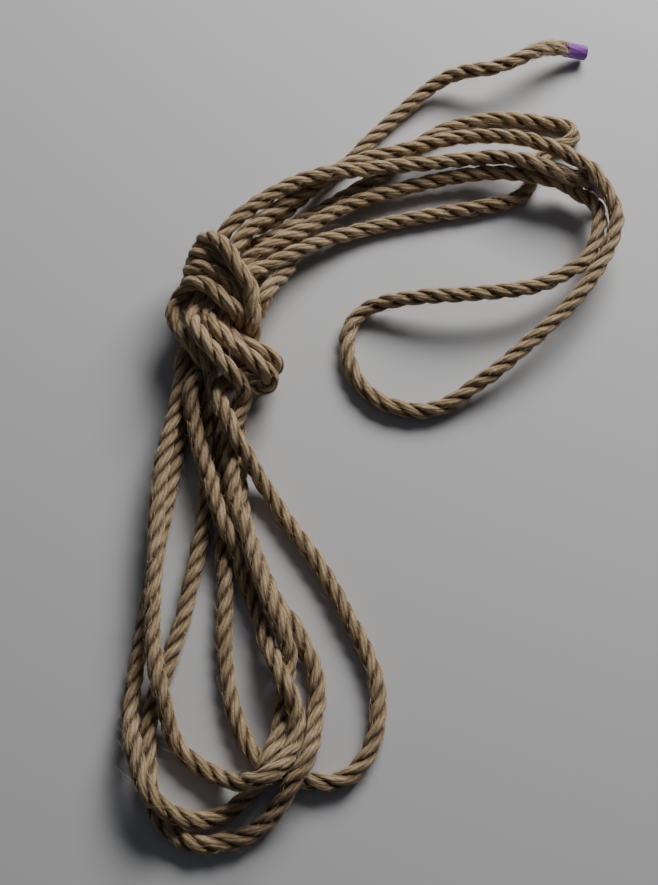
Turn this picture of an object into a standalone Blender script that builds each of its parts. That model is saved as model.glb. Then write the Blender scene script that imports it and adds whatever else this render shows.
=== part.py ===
"""Hank of three-strand laid rope: one long rope folded into a hank and tied with its own turns.

The rope is one continuous centreline, cut into named stretches that meet face to face, and it
ends in two short plastic sleeves. Metres, +Z up, +X right, +Y towards the free ends; the hank
lies on z = 0 and the middle of its footprint is x = y = 0.
"""
import math

import bmesh
import bpy
import numpy as np
from mathutils import Matrix, Vector

MM = 0.001

# driving dimensions
ROPE_DIAMETER = 8.0            # mm, over the crowns of the strands
TUBE_RADIUS = 3.9              # mm, the solid that stands for the rope
CLEARANCE = 8.35               # mm, least distance between two passes of the centreline
FLOOR_HEIGHT = 4.02            # mm, lowest the centreline may run
SAME_PASS = 16.0               # mm of rope that counts as one and the same pass
EASY_RADIUS = 8.0              # mm, bends sharper than this are eased
GRIPPED = 0.82                 # the rope inside the knot is squeezed to this share of its thickness
SAMPLE_STEP = 3.0              # mm between samples of the centreline
SETTLE_ROUNDS = 120
FACE_GAP = 0.3                 # mm between the end faces of two stretches
STRAIGHT_END = 1.2             # mm of straight tube behind each end face
CHORD_ERROR = 0.24             # mm a tube's chord may cut into its bend
LONGEST_CHORD = 18.0           # mm
SLEEVE_LENGTH = 14.0           # mm
SLEEVE_RADIUS = 4.3            # mm
SLEEVE_CHAMFER = 0.5           # mm
SLEEVE_SIDES = 32

# the four wrapping turns of the knot: a rounded square winding along the hank's neck
KNOT_CENTRE = (-90.1, 41.6)
KNOT_AXIS = (0.182, 0.983)
KNOT_SIDE = (0.983, -0.182)
WRAP_PITCH = 9.1
WRAP_HALF_WIDTH = 14.8
WRAP_HALF_HEIGHT = 13.6
WRAP_MID_HEIGHT = 17.7
WRAP_SQUARENESS = 2.6
WRAP_SLANT = 12.0
WRAP_LAST_OFFSET = -4.0
WRAP_SHIFT = -1.0              # mm to the left of the knot's middle
POINTS_PER_WRAP = 12
WRAP_POINTS = 35


def wrap_point(angle):
    """One point of the wrapping turns; angle 0 is the last turn's left side."""
    cosine, sine = math.cos(angle), math.sin(angle)
    power = 2.0 / WRAP_SQUARENESS
    across = WRAP_SHIFT - WRAP_HALF_WIDTH * math.copysign(abs(cosine) ** power, cosine)
    height = WRAP_MID_HEIGHT + WRAP_HALF_HEIGHT * math.copysign(abs(sine) ** power, sine)
    along = WRAP_LAST_OFFSET + WRAP_PITCH * angle / (2 * math.pi)
    along += WRAP_SLANT * math.cos(angle - math.pi / 4)
    x = KNOT_CENTRE[0] + KNOT_AXIS[0] * along + KNOT_SIDE[0] * across
    y = KNOT_CENTRE[1] + KNOT_AXIS[1] * along + KNOT_SIDE[1] * across
    return (x, y, height)


def wrap_turns():
    """The wrapping turns, from the first one, nearest the legs, to the last."""
    step = 2 * math.pi / POINTS_PER_WRAP
    return [wrap_point(step * count) for count in range(WRAP_POINTS, 0, -1)]


# the route of the rope in mm, from free end 1 to free end 2, stretch by stretch
ROUTE = [
    ("free_end_1", [
        (118, 217, 5.5), (112, 217, 7), (104, 216, 10.5), (94.5, 213, 14.5),
        (85.5, 208, 17.5), (73, 200.5, 18.5), (61, 197, 17), (49.5, 197.5, 14),
        (40.5, 197, 11), (29, 192, 8), (17, 182, 5.5), (4.5, 170, 4),
    ]),
    ("leg_1", [
        (-7.5, 157, 4), (-16, 146.5, 4), (-25.5, 136.5, 5), (-36.5, 125.5, 8),
        (-48.5, 112, 11), (-61, 98, 14), (-76, 84, 16), (-84, 75, 17.5), (-89.5, 66, 17.5),
    ]),
    ("core_1", [
        (-91.5, 54, 17.5), (-93.5, 42.5, 17.5), (-96.5, 30.5, 17.5),
    ]),
    ("loop_1_down", [
        (-104, 19.5, 15), (-105, 5, 12), (-107, -6.5, 11.5), (-110, -22, 12),
        (-113, -38.5, 12), (-114, -55, 12), (-114.5, -69.5, 12.5), (-114, -89.5, 12.5),
        (-114, -109.5, 12.5), (-113.5, -123.5, 12), (-111.5, -138, 12.5),
        (-109, -149, 12.5), (-106.5, -157.5, 10), (-104, -167.5, 6), (-100, -176, 4),
        (-94, -182, 4),
    ]),
    ("loop_1_foot", [
        (-87, -186.5, 4), (-79, -190.5, 6), (-70.5, -193, 12), (-63.5, -193, 18),
        (-58.5, -191.5, 21), (-53.5, -188, 19), (-49.5, -183.5, 15),
    ]),
    ("loop_1_up", [
        (-46, -177.5, 10.5), (-44.5, -170.5, 9), (-45, -164, 9), (-47, -156.5, 11),
        (-51, -149, 12.5), (-54.5, -140, 11), (-59.5, -128, 7.5), (-63.5, -116.5, 4.5),
        (-67.5, -106, 4), (-71.5, -96.5, 4.5), (-75, -86.5, 6.5), (-79, -77, 9.5),
        (-83, -68, 12), (-87, -56.5, 12.5), (-89.5, -47, 12), (-92.5, -38, 12),
        (-96, -26, 12), (-98.5, -17, 13), (-100, -8.5, 16), (-100.5, 0, 17),
        (-93.5, 16, 15.5),
    ]),
    ("core_2", [
        (-89, 29, 17.5), (-86.5, 41, 17.5), (-84.5, 52.5, 17.5),
    ]),
    ("leg_5", [
        (-80.5, 62, 18.5), (-65, 75.5, 21), (-54, 83, 19), (-42, 93, 16), (-30, 103.5, 13),
        (-13.5, 114, 10), (3, 121, 8), (17.5, 125.5, 7.5), (33.5, 129.5, 8), (48, 131.5, 9),
        (62, 131.5, 11), (75.5, 129, 12.5), (89, 126.5, 12.5), (98.5, 124.5, 11),
        (106.5, 120, 11), (112.5, 112.5, 12), (115, 103.5, 13), (113.5, 92.5, 14),
        (110.5, 83, 14),
    ]),
    ("pulled_loop_top", [
        (104.5, 73.5, 14), (94.5, 67, 14.5), (85.5, 61.5, 15), (73.5, 57, 16),
        (58.5, 54.5, 16.5), (40.5, 53, 16), (22, 53, 14), (7, 53, 10.5), (-3.5, 52, 7.5),
        (-11, 49.5, 5), (-17.5, 43.5, 4), (-20.5, 35.5, 4), (-21, 26.5, 4),
    ]),
    ("pulled_loop_bottom", [
        (-19.5, 18, 4), (-16, 9.5, 4), (-10.5, 2.5, 4), (-2.5, -3.5, 4), (8, -7, 4),
        (16.5, -8, 4), (26.5, -6, 4.5), (34, -2.5, 5.5), (42, 3, 7), (56.5, 13, 10),
        (73, 27, 13), (89, 41.5, 15), (103.5, 58, 16), (113, 73, 17), (120, 87, 18),
        (122.5, 98.5, 19),
    ]),
    ("leg_3", [
        (121, 106, 20), (118, 113.5, 21), (112, 122.5, 22.5), (104.5, 129.5, 23.5),
        (96, 135.5, 24), (85.5, 142, 22.5), (74, 148, 19.5), (61, 151, 17),
        (47.5, 152.5, 14.5), (35, 151, 14), (23.5, 148, 14), (11.5, 144, 14.5),
        (-0.5, 140, 15.5), (-12.5, 135, 16.5), (-25.5, 127.5, 17.5), (-37.5, 118.5, 18.5),
        (-51, 108.5, 20), (-63, 96.5, 22), (-76, 84, 25), (-81, 73.5, 24.5),
        (-85.5, 63, 24),
    ]),
    ("core_3", [
        (-88, 53.5, 23.5), (-90, 41.5, 23.5),
    ]),
    ("tuck_2", [
        (-90, 35, 25), (-86, 28.5, 26.5), (-81, 21.5, 27), (-73.5, 14.5, 27),
        (-67, 9, 26.5), (-62.5, 5.5, 24.5), (-60, 4, 20), (-60, 3.5, 14), (-62, 3.5, 8.5),
    ]),
    ("loop_2_down", [
        (-68, 4, 5), (-74.5, 0.5, 4), (-77, -7.5, 4), (-77.5, -18.5, 4), (-77, -32, 4),
        (-76, -45.5, 4), (-74, -59, 4), (-70.5, -73, 4), (-65.5, -86, 4), (-60.5, -98.5, 4),
        (-54.5, -110, 4), (-47, -120, 4), (-42, -129.5, 4), (-38, -138.5, 4),
        (-36, -148, 4), (-36, -156, 4), (-37.5, -164.5, 6), (-39.5, -174, 10),
        (-42, -182, 13),
    ]),
    ("loop_2_foot", [
        (-46.5, -191.5, 12.5), (-52, -201.5, 8), (-60.5, -211, 4.5), (-70.5, -216.5, 4),
        (-80, -218.5, 4), (-89, -219, 4), (-97, -216, 4), (-104.5, -211, 4),
        (-109, -203.5, 4),
    ]),
    ("loop_2_up", [
        (-112, -193, 4), (-113.5, -183, 4), (-114, -173.5, 4), (-113.5, -163, 4),
        (-111.5, -152.5, 4), (-108, -143.5, 4), (-104.5, -131.5, 4), (-100.5, -117, 4),
        (-97, -98.5, 4), (-94, -81, 4), (-92, -69, 4), (-91, -56, 4), (-90.5, -40.5, 4),
        (-90.5, -24, 4), (-91, -10.5, 4), (-94, 5.5, 5), (-94, 18, 9),
    ]),
    ("core_4", [
        (-92.5, 30, 11.5), (-90, 41.5, 11.5), (-88, 53.5, 11.5),
    ]),
    ("back_bight", [
        (-71.5, 73.5, 8), (-66.5, 85, 5), (-61.5, 93, 4), (-55.5, 98, 4), (-49.5, 97.5, 4),
        (-46, 90.5, 5), (-48.5, 81, 8), (-53.5, 72, 11.5), (-58, 63, 15), (-62, 54.5, 18),
        (-65.5, 48, 18.5), (-68.5, 44.5, 15.5), (-69, 45, 10), (-68, 50, 5.5),
        (-65, 56.5, 4), (-62.5, 63.5, 4), (-63, 70, 4.5), (-66.5, 64.5, 6.5),
        (-73, 59, 9.5),
    ]),
    ("core_5", [
        (-80.5, 53, 11.5), (-82.5, 42.5, 11.5), (-85, 30.5, 11.5),
    ]),
    ("turn_in", [
        (-85.5, 22.5, 12), (-83.5, 16, 12.5), (-78, 13, 13), (-72, 18, 14.5),
    ]),
    ("wrap_1", [
        (-71, 26, 20.5), (-71.5, 34, 26), (-71.5, 42.5, 30), (-73, 49.5, 32), (-77, 57, 35),
        (-84, 66, 35.5), (-90.5, 71, 33), (-96.5, 73, 27.5), (-99, 74, 20),
    ]),
    ("wraps", wrap_turns()),
    ("wrap_4_curl", [
        (-109.5, 46, 19), (-110.5, 40, 20), (-109, 33.5, 19), (-105.5, 29, 17.5),
        (-101, 24, 16.5), (-96, 16, 16),
    ]),
    ("loop_3_up", [
        (-91, 5.5, 17), (-87.5, -3.5, 18.5), (-84.5, -10.5, 20), (-80.5, -20, 21),
        (-76, -30.5, 18), (-70.5, -37.5, 13), (-65, -46, 8), (-59, -55, 5), (-50, -69, 4),
        (-40.5, -82, 4), (-31, -97, 4), (-25.5, -107, 4), (-20.5, -117, 4),
        (-15.5, -126.5, 4), (-11.5, -136, 4), (-8.5, -145.5, 4), (-7.5, -155, 4),
        (-8, -164, 4), (-10, -173.5, 4),
    ]),
    ("loop_3_foot", [
        (-15, -183, 4), (-24, -190.5, 4), (-34.5, -192, 4), (-44.5, -190.5, 4),
        (-54, -188, 4), (-62, -183, 4), (-68, -175.5, 4),
    ]),
    ("loop_3_down", [
        (-72.5, -166, 4), (-76, -155.5, 4), (-78.5, -143.5, 4), (-80, -126.5, 4),
        (-80.5, -107, 4), (-81, -87, 4), (-81.5, -69, 4), (-82.5, -53.5, 4),
        (-84, -37.5, 4), (-85.5, -23, 4.5), (-87, -11, 4.5), (-87, -1, 4), (-84.5, 7, 4),
        (-79, 12, 4), (-72.5, 15, 4), (-67, 15.5, 4),
    ]),
    ("tuck_3", [
        (-62, 14.5, 5), (-58, 13.5, 10), (-57, 14, 15), (-59, 16, 18), (-63.5, 18, 19.5),
        (-70.5, 21.5, 20), (-77, 26.5, 20.5), (-82, 32, 22), (-83.5, 34, 23.5),
    ]),
    ("core_6", [
        (-82.5, 42.5, 23.5), (-80.5, 52, 23.5),
    ]),
    ("leg_6", [
        (-74.5, 61, 23.5), (-67, 67, 20), (-58.5, 70.5, 18), (-47.5, 80, 14),
        (-34.5, 88.5, 10), (-19, 96, 6), (-2.5, 102, 4), (13.5, 106, 4), (30, 109.5, 4),
        (47, 112.5, 4), (61.5, 116, 4), (72, 119, 4), (79.5, 125.5, 4), (82.5, 133.5, 4),
        (86.5, 142.5, 4), (92, 150.5, 4),
    ]),
    ("small_bight", [
        (99, 154.5, 4), (105, 156.5, 4), (108.5, 161, 4), (106, 165.5, 4), (99, 168.5, 4),
    ]),
    ("leg_2", [
        (89.5, 169.5, 4), (77.5, 171.5, 4), (64.5, 172, 4), (50.5, 170, 4),
        (36.5, 165.5, 4), (24.5, 158, 4), (13, 149, 4), (2.5, 139, 4), (-7.5, 130.5, 4),
        (-19, 122, 4), (-31, 113, 5), (-43, 102.5, 9), (-54.5, 93, 12.5), (-77, 84, 12),
        (-87, 75.5, 11.5), (-92.5, 66.5, 11.5),
    ]),
    ("core_7", [
        (-95, 54.5, 11.5), (-97, 43, 11.5), (-99.5, 31, 11.5),
    ]),
    ("loop_4_down", [
        (-106.5, 20, 8), (-103, 10, 5), (-104, -2, 4), (-105.5, -19.5, 4), (-108.5, -39, 4),
        (-111, -59, 4), (-113.5, -77.5, 4), (-116, -96, 4), (-118, -115.5, 4),
        (-120, -131.5, 4), (-122, -146, 4), (-122.5, -158, 5), (-121, -170.5, 9),
        (-118, -181.5, 12.5), (-115, -191.5, 12.5), (-110.5, -198, 12.5),
        (-104.5, -204, 12.5),
    ]),
    ("loop_4_foot", [
        (-96.5, -208, 9), (-88.5, -209, 5), (-79.5, -207, 4), (-71.5, -202, 4),
        (-65.5, -196, 7), (-60.5, -189.5, 12), (-57, -182.5, 12), (-54, -174, 8),
        (-52.5, -162.5, 4),
    ]),
    ("loop_4_up", [
        (-51, -149.5, 4), (-50, -140, 5), (-50.5, -131.5, 8.5), (-54, -120, 12.5),
        (-59, -108.5, 12.5), (-64.5, -95, 12.5), (-69, -83, 12.5), (-73.5, -70.5, 12.5),
        (-77, -57.5, 12.5), (-78.5, -43.5, 12.5), (-80, -30, 12.5), (-80, -22, 12.5),
    ]),
    ("tuck_1", [
        (-76.5, -15.5, 12.5), (-74, -8.5, 13), (-73, -3.5, 17.5), (-75.5, 0.5, 23),
        (-81, 5.5, 27.5), (-87, 12, 29.5), (-93, 19.5, 30), (-97.5, 28, 28.5),
        (-99.5, 34, 25.5),
    ]),
    ("core_8", [
        (-97, 45, 23.5), (-95, 54.5, 23.5),
    ]),
    ("leg_4", [
        (-92.5, 66.5, 24.5), (-87, 79.5, 25.5), (-81, 85, 27), (-72, 96, 27.5),
        (-58.5, 107.5, 27.5), (-46, 115, 26.5), (-30, 121.5, 25), (-13.5, 128, 19),
        (2.5, 132, 16), (19, 134, 15), (35.5, 136.5, 14.5), (52, 138, 15), (67, 136.5, 18),
    ]),
    ("free_end_2", [
        (80.5, 131, 20.5), (92.5, 126.5, 19), (102, 123.5, 16.5), (110.5, 122.5, 13),
        (117.5, 120.5, 10.5), (122.5, 118.5, 9),
    ]),
]


def resample(points, step):
    """Points at an even spacing along a polyline."""
    length = np.r_[0, np.cumsum(np.linalg.norm(np.diff(points, axis=0), axis=1))]
    count = int(round(length[-1] / step)) + 1
    wanted = np.linspace(0, length[-1], count)
    return np.stack([np.interp(wanted, length, points[:, c]) for c in range(3)], 1)


def smooth_curve(points, step):
    """Centripetal Catmull-Rom curve through the points, and the length at each point."""
    points = np.asarray(points, float)
    ends = (2 * points[0] - points[1], 2 * points[-1] - points[-2])
    full = np.vstack([ends[0], points, ends[1]])
    pieces = []
    marks = [0.0]
    for i in range(1, len(full) - 2):
        p0, p1, p2, p3 = full[i - 1:i + 3]
        t1 = math.sqrt(np.linalg.norm(p1 - p0))
        t2 = t1 + math.sqrt(np.linalg.norm(p2 - p1))
        t3 = t2 + math.sqrt(np.linalg.norm(p3 - p2))
        count = max(2, int(np.linalg.norm(p2 - p1) / step * 8))
        t = np.linspace(t1, t2, count + 1)[:, None]
        a1 = (t1 - t) / t1 * p0 + t / t1 * p1
        a2 = (t2 - t) / (t2 - t1) * p1 + (t - t1) / (t2 - t1) * p2
        a3 = (t3 - t) / (t3 - t2) * p2 + (t - t2) / (t3 - t2) * p3
        b1 = (t2 - t) / t2 * a1 + t / t2 * a2
        b2 = (t3 - t) / (t3 - t1) * a2 + (t - t1) / (t3 - t1) * a3
        piece = (t2 - t) / (t2 - t1) * b1 + (t - t1) / (t2 - t1) * b2
        marks.append(marks[-1] + np.linalg.norm(np.diff(piece, axis=0), axis=1).sum())
        pieces.append(piece[:-1])
    pieces.append(points[-1:])
    return resample(np.vstack(pieces), step), np.array(marks)


def soften(field, rounds):
    """Spread a field of small moves along the rope."""
    for _ in range(rounds):
        first = field[:1] * 0.75 + field[1:2] * 0.25
        last = field[-1:] * 0.75 + field[-2:-1] * 0.25
        middle = 0.25 * field[:-2] + 0.5 * field[1:-1] + 0.25 * field[2:]
        field = np.vstack([first, middle, last])
    return field


def squeeze_along(path):
    """Share of its full thickness that the rope has at each sample: less inside the knot."""
    points = np.array([point for _, stretch in ROUTE for point in stretch], float)
    gripped = np.array([name.startswith("core") for name, stretch in ROUTE for _ in stretch])
    nearest = [int(((points - spot) ** 2).sum(1).argmin()) for spot in path]
    share = np.where(gripped[nearest], GRIPPED, 1.0)
    for _ in range(6):
        share[1:-1] = (share[:-2] + 2 * share[1:-1] + share[2:]) / 4
    return share


def crowding_push(path, share, first, second):
    """Move that takes two passes apart where they are closer than they may be."""
    apart = path[first] - path[second]
    distance = np.sqrt((apart * apart).sum(1)) + 1e-9
    least = CLEARANCE * (share[first] + share[second]) / 2
    overlap = np.maximum(least - distance, 0)
    part = apart * (overlap / distance)[:, None]
    push = np.zeros_like(path)
    contacts = np.zeros(len(path))
    np.add.at(push, first, part)
    np.add.at(push, second, -part)
    np.add.at(contacts, first, overlap > 0)
    np.add.at(contacts, second, overlap > 0)
    return push / np.maximum(contacts, 1)[:, None] * 0.5


def kink_ease(path):
    """Move that opens bends sharper than EASY_RADIUS."""
    inward = (path[:-2] + path[2:]) / 2 - path[1:-1]
    bend = np.linalg.norm(inward, axis=1)
    limit = SAMPLE_STEP ** 2 / (2 * EASY_RADIUS)
    share = np.clip((bend - limit) / np.maximum(bend, 1e-9), 0, 1)[:, None]
    ease = np.zeros_like(path)
    ease[1:-1] = inward * share * 0.3
    return ease


def settle(path):
    """Let the passes of the rope push each other apart until none runs through another."""
    path = path.copy()
    share = squeeze_along(path)
    skip = int(math.ceil(SAME_PASS / SAMPLE_STEP))
    all_first, all_second = np.triu_indices(len(path), skip + 1)
    for turn in range(SETTLE_ROUNDS):
        if turn % 12 == 0:
            apart = path[all_first] - path[all_second]
            close = (apart * apart).sum(1) < (CLEARANCE + 5) ** 2
            first, second = all_first[close], all_second[close]
        path += soften(crowding_push(path, share, first, second), 2)
        path += soften(kink_ease(path), 1)
        path[:, 2] = np.maximum(path[:, 2], FLOOR_HEIGHT)
    return path, share


def rope_centreline():
    """Settled centreline in mm, how squeezed it is, and where each stretch starts."""
    points = [point for _, stretch in ROUTE for point in stretch]
    starts = np.cumsum([0] + [len(stretch) for _, stretch in ROUTE])[:-1]
    coarse, marks = smooth_curve(points, SAMPLE_STEP)
    at_sample = marks[starts] / marks[-1] * (len(coarse) - 1)
    settled, squeeze = settle(coarse)
    fine, fine_marks = smooth_curve(settled, 0.5)
    limits = np.interp(at_sample, np.arange(len(settled)), fine_marks)
    fine_squeeze = np.interp(np.linspace(0, fine_marks[-1], len(fine)), fine_marks, squeeze)
    return fine, fine_squeeze, np.r_[limits, fine_marks[-1]]


def curve_at(fine, length, wanted):
    """Position on the fine centreline at a length along it."""
    return np.array([np.interp(wanted, length, fine[:, c]) for c in range(3)])


def direction_at(fine, length, wanted):
    """Unit direction of the fine centreline at a length along it."""
    ahead = curve_at(fine, length, min(wanted + 1.5, length[-1]))
    behind = curve_at(fine, length, max(wanted - 1.5, 0.0))
    return (ahead - behind) / np.linalg.norm(ahead - behind)


def chord_points(points):
    """Indices of the fewest points whose chords stay within CHORD_ERROR of the curve."""
    kept = [0]
    while kept[-1] < len(points) - 1:
        start = kept[-1]
        end = start + 1
        while end + 1 < len(points):
            chord = points[end + 1] - points[start]
            span = np.linalg.norm(chord)
            if span > LONGEST_CHORD:
                break
            inner = points[start + 1:end + 1] - points[start]
            off = np.linalg.norm(np.cross(inner, chord), axis=1).max() / span
            if off > CHORD_ERROR:
                break
            end += 1
        kept.append(end)
    return kept


def stretch_points(fine, length, start, end):
    """Tube points of one stretch, with square straight ends half a gap from its limits."""
    first, last = curve_at(fine, length, start), curve_at(fine, length, end)
    out, back = direction_at(fine, length, start), direction_at(fine, length, end)
    half = FACE_GAP / 2
    inner = fine[(length > start + 2.4) & (length < end - 2.4)]
    body = inner[chord_points(inner)]
    head = [first + out * half, first + out * STRAIGHT_END]
    tail = [last - back * STRAIGHT_END, last - back * half]
    return np.vstack([head, body, tail])


def make_material(name, colour, roughness):
    material = bpy.data.materials.new(name)
    material.use_nodes = True
    shader = material.node_tree.nodes["Principled BSDF"]
    shader.inputs["Base Color"].default_value = (*colour, 1.0)
    shader.inputs["Roughness"].default_value = roughness
    return material


def add_tube(name, points, shares, collection):
    """A capped round tube through the points, turned into a plain mesh."""
    curve = bpy.data.curves.new(name + "_line", "CURVE")
    curve.dimensions = "3D"
    curve.bevel_depth = TUBE_RADIUS * MM
    curve.bevel_resolution = 2
    curve.use_fill_caps = True
    line = curve.splines.new("POLY")
    line.points.add(len(points) - 1)
    for target, point, share in zip(line.points, points, shares):
        target.co = (*(float(v) * MM for v in point), 1.0)
        target.radius = float(share)
    obj = bpy.data.objects.new(name, curve)
    collection.objects.link(obj)
    obj.data.materials.append(make_material(name + "_fibre", (0.45, 0.33, 0.2), 0.9))
    return obj


def add_sleeve(name, middle, direction, collection):
    """A short round sleeve with chamfered rims, closed at both ends."""
    half = SLEEVE_LENGTH / 2 - FACE_GAP / 2
    inset = SLEEVE_RADIUS - SLEEVE_CHAMFER
    outline = [(-half, inset), (-half + SLEEVE_CHAMFER, SLEEVE_RADIUS),
               (half - SLEEVE_CHAMFER, SLEEVE_RADIUS), (half, inset)]
    turn = Vector(direction).to_track_quat("Z", "Y").to_matrix().to_4x4()
    place = Matrix.Translation(Vector(middle) * MM) @ turn
    body = bmesh.new()
    rings = []
    for along, radius in outline:
        ring = []
        for i in range(SLEEVE_SIDES):
            angle = 2 * math.pi * i / SLEEVE_SIDES
            spot = Vector((radius * math.cos(angle), radius * math.sin(angle), along)) * MM
            ring.append(body.verts.new(place @ spot))
        rings.append(ring)
    for lower, upper in zip(rings, rings[1:]):
        for i in range(SLEEVE_SIDES):
            j = (i + 1) % SLEEVE_SIDES
            body.faces.new((lower[i], lower[j], upper[j], upper[i]))
    body.faces.new(tuple(reversed(rings[0])))
    body.faces.new(tuple(rings[-1]))
    mesh = bpy.data.meshes.new(name)
    body.to_mesh(mesh)
    body.free()
    obj = bpy.data.objects.new(name, mesh)
    collection.objects.link(obj)
    mesh.materials.append(make_material(name + "_plastic", (0.3, 0.12, 0.45), 0.45))
    return obj


def build():
    for obj in list(bpy.data.objects):
        bpy.data.objects.remove(obj)
    collection = bpy.data.collections.new("rope_hank")
    bpy.context.scene.collection.children.link(collection)
    fine, squeeze, limits = rope_centreline()
    length = np.r_[0, np.cumsum(np.linalg.norm(np.diff(fine, axis=0), axis=1))]
    limits = np.interp(limits / limits[-1], length / length[-1], length)
    total = length[-1]
    first_end, last_start = SLEEVE_LENGTH, total - SLEEVE_LENGTH
    for index, (name, _) in enumerate(ROUTE):
        start = max(limits[index], first_end)
        end = min(limits[index + 1], last_start)
        points = stretch_points(fine, length, start, end)
        nearest = [int(((fine - point) ** 2).sum(1).argmin()) for point in points]
        add_tube(name, points, squeeze[nearest], collection)
    for name, edge, way in (("end_sleeve_1", first_end, -1), ("end_sleeve_2", last_start, 1)):
        direction = direction_at(fine, length, edge) * way
        middle = curve_at(fine, length, edge) + direction * SLEEVE_LENGTH / 2
        add_sleeve(name, middle, direction, collection)


build()
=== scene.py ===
"""Looks of the knotted rope hank: three twisted strands of plant fibre with loose hairs, and two
creased purple sleeves. The route is the part's own, settled the same way; lengths are in mm
until they go into a mesh, which is in metres."""
import math

import bpy
import numpy as np
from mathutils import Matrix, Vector


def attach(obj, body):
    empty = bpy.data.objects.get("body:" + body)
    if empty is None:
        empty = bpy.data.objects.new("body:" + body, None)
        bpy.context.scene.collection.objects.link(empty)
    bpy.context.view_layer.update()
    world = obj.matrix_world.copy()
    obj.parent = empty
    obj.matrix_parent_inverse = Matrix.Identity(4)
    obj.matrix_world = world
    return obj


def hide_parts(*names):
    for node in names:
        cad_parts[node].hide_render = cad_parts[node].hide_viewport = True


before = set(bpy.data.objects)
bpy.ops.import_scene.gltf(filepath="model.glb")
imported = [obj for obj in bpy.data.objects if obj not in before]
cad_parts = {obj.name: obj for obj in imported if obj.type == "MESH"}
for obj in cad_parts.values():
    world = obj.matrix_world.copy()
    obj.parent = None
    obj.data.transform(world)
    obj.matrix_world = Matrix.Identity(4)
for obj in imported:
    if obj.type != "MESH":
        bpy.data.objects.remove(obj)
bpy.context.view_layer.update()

MM = 0.001

# rope, in mm
ROPE_DIAMETER = 8.0
CLEARANCE = 8.35               # least distance between the centrelines of two passes
FLOOR_HEIGHT = 4.02            # height of the centreline where the rope lies on the floor
SAME_PASS = 16.0               # stretches closer than this along the rope are one pass
CLOSE_PASS = 5.0               # passes this much past CLEARANCE are watched while settling
EASY_RADIUS = 8.0              # bends sharper than this are eased open
GRIPPED = 0.82                 # share of its thickness that the rope keeps inside the knot
SAMPLE_STEP = 3.0              # mm between samples while the rope settles
SETTLE_ROUNDS = 120
ROUNDS_PER_SEARCH = 12
RING_STEP = 1.2                # mm between the rings of a strand
STRANDS = 3
STRAND_SIDES = 18
STRAND_RADIUS = 2.10
STRAND_WIDTH = 1.08            # a strand is this much wider than it is high
HELIX_RADIUS = 2.08            # from the rope's middle to a strand's middle
LAY_LENGTH = 31.0              # mm of rope for one turn of the strands
YARN_TURN = -0.225             # radians of yarn turn per mm of strand
LOOSE_END = 24.0               # mm of slightly untwisted rope behind each sleeve
KNOT_REACH = 40.0              # mm from the knot's middle where strands are pressed flatter
KNOT_SWELL = 0.08              # share by which pressed strands are thicker
KNOT_CLOSE = 0.09              # share by which pressed strands lie closer together
KNOT_SHALLOW = 0.30            # how much less the painted shade in the valleys darkens there

# yarns in a strand
YARNS = 6
YARN_RELIEF = 0.045            # height of a yarn, as a share of the strand's radius
LUMP_RELIEF = 0.05             # height of the uneven packing, in the same way

# sleeves, in mm
SLEEVE_LENGTH = 14.0
SLEEVE_RADIUS = 4.3
SLEEVE_GRIP = 0.82             # share of its thickness that the rope keeps inside a sleeve
SLEEVE_RINGS = 40
SLEEVE_SIDES = 48
SLEEVE_CREASES = 7
SLEEVE_WALL = 0.3
SLEEVE_LAP = 0.16              # step where the wrap's outer edge lies on its first turn
LAP_ARC = (2.2, 5.4)           # radians round the sleeve between which that step stands
RIM_OUTER = 0.45               # how far the rim at the rope's end is drawn in
RIM_INNER = 0.35

# loose fibres, in mm
HAIRS = 9000                   # in each of the two pieces
HAIR_POINTS = 4
HAIR_RADII = (0.05, 0.10)
HAIR_START = 0.25              # how deep below the rope's skin a fibre starts
HAIR_LIFT = (0.10, 0.50)       # how steeply a fibre leaves the rope's skin
BARE_RINGS = 12                # rings of the rope at each end that carry no fibre
END_RINGS = 32                 # the extra fibres behind a sleeve reach to this ring
END_SHARE = 0.05               # share of all fibres that are such extra ones
CUT_YARNS = 90                 # yarn ends in a sleeve's open end
CUT_RADIUS = 3.35
CUT_DEPTHS = (0.9, 1.6)        # how far inside the sleeve's rim the yarn ends lie
CUT_YARN_RADII = (0.42, 0.3)   # at a yarn end's foot and tip

# the four wrapping turns of the knot
KNOT_CENTRE = (-90.1, 41.6)
KNOT_AXIS = (0.182, 0.983)
KNOT_SIDE = (0.983, -0.182)
WRAP_PITCH = 9.1               # mm from one turn to the next
WRAP_HALF_WIDTH = 14.8
WRAP_HALF_HEIGHT = 13.6
WRAP_MID_HEIGHT = 17.7
WRAP_SQUARENESS = 2.6          # 2 is an oval, more is squarer
WRAP_SLANT = 12.0              # mm by which a turn's two sides differ along the knot
WRAP_LAST_OFFSET = -4.0        # mm from the knot's middle to the last turn
WRAP_SHIFT = -1.0              # mm to the left of the knot's middle
POINTS_PER_WRAP = 12
WRAP_POINTS = 35

# camera and lights, in metres
CAMERA_PLACE = (-0.0305, -0.2583, 0.5804)
CAMERA_TILT = 22.0             # degrees away from straight down
CAMERA_LENS = 50.0
CAMERA_SENSOR = 36.0
WINDOW_PLACE = (0.50, 0.95, 0.74)
WINDOW_SIZE = (0.85, 0.52)
WINDOW_POWER = 25.5
FILL_PLACE = (-0.3, 0.2, 1.9)
FILL_SIZE = (2.2, 2.2)
FILL_POWER = 0.8
ROOM_LIGHT = 0.05
FLOOR_REACH = 6.0


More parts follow.
